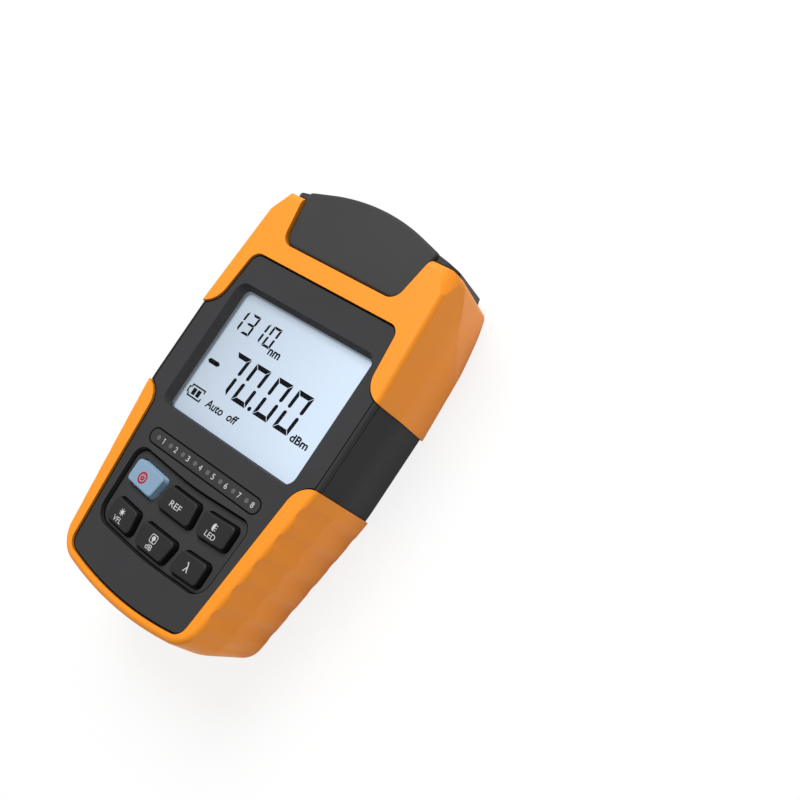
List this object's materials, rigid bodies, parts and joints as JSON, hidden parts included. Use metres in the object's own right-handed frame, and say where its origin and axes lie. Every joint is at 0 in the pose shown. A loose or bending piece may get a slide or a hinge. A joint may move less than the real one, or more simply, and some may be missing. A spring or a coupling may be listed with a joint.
{
  "type": "optical power meter",
  "caption": "Hand-held optical power meter with a segment display, rubber keypad, rubber bumpers and a hinged dust cover over its fibre and cable ports.",
  "frame": {"origin": "on the back plane, half way along and across the meter", "axes": "+X to the right of the display, +Y towards the ports, +Z out of the front"},
  "size_m": [0.068, 0.118, 0.03],
  "materials": {
    "case_plastic": "fine moulded grain",
    "bumper_rubber": "satin, soft over-moulding",
    "cover_plastic": "fine moulded grain",
    "door_plastic": "fine moulded grain",
    "dark_key": "satin silicone with printed marks",
    "light_key": "satin silicone with a printed mark",
    "lens": "clear acrylic",
    "lcd": "pale segment display",
    "light_guide": "diffusing",
    "strip_film": "printed film, satin",
    "lamp_epoxy": "clear",
    "switch_plastic": "moulded",
    "board": "solder resist",
    "steel": "zinc plated",
    "cell_jacket": "gloss shrink jacket",
    "port_metal": "turned, nickel plated",
    "brass": "turned",
    "clear_epoxy": "clear lens",
    "jack_plastic": "moulded",
    "gold_contacts": "gold plated"
  },
  "bodies": {
    "case": {"front_case": "case_plastic", "rear_case": "case_plastic", "upper_bumper": "bumper_rubber", "lower_bumper": "bumper_rubber", "cover_hinge_pin": "steel", "display_lens": "lens", "lcd_panel": "lcd", "backlight": "light_guide", "indicator_strip": "strip_film", "indicator_lamps": "lamp_epoxy", "key_switches": "switch_plastic", "main_board": "board", "case_screws": "steel", "battery_cells": "cell_jacket", "battery_contacts": "steel", "detector_port": "port_metal", "detector_diode": "brass", "laser_port": "port_metal", "laser_module": "brass", "torch_bezel": "port_metal", "torch_led": "clear_epoxy", "network_jack": "jack_plastic", "jack_contacts": "gold_contacts"},
    "cover": {"dust_cover": "cover_plastic"},
    "door": {"battery_door": "door_plastic"},
    "power_key_cap": {"power_key": "light_key"},
    "reference_key_cap": {"reference_key": "dark_key"},
    "torch_key_cap": {"torch_key": "dark_key"},
    "laser_key_cap": {"laser_key": "dark_key"},
    "decibel_key_cap": {"decibel_key": "dark_key"},
    "wavelength_key_cap": {"wavelength_key": "dark_key"}
  },
  "joints": [
    {"name": "cover_hinge", "type": "hinge", "parent": "case", "child": "cover", "pos_m": [0, 0.054, 0.0033], "axis": [-1, 0, 0], "range_deg": [0, 110]},
    {"name": "power_press", "type": "slide", "parent": "case", "child": "power_key_cap", "axis": [0, 0, -1], "range_m": [0, 0.0006], "stiffness_N_per_m": 800},
    {"name": "reference_press", "type": "slide", "parent": "case", "child": "reference_key_cap", "axis": [0, 0, -1], "range_m": [0, 0.0006], "stiffness_N_per_m": 800},
    {"name": "torch_press", "type": "slide", "parent": "case", "child": "torch_key_cap", "axis": [0, 0, -1], "range_m": [0, 0.0006], "stiffness_N_per_m": 800},
    {"name": "laser_press", "type": "slide", "parent": "case", "child": "laser_key_cap", "axis": [0, 0, -1], "range_m": [0, 0.0006], "stiffness_N_per_m": 800},
    {"name": "decibel_press", "type": "slide", "parent": "case", "child": "decibel_key_cap", "axis": [0, 0, -1], "range_m": [0, 0.0006], "stiffness_N_per_m": 800},
    {"name": "wavelength_press", "type": "slide", "parent": "case", "child": "wavelength_key_cap", "axis": [0, 0, -1], "range_m": [0, 0.0006], "stiffness_N_per_m": 800},
    {"name": "door_lift", "type": "slide", "parent": "case", "child": "door", "axis": [0, 0, -1], "range_m": [0, 0.012]}
  ]
}
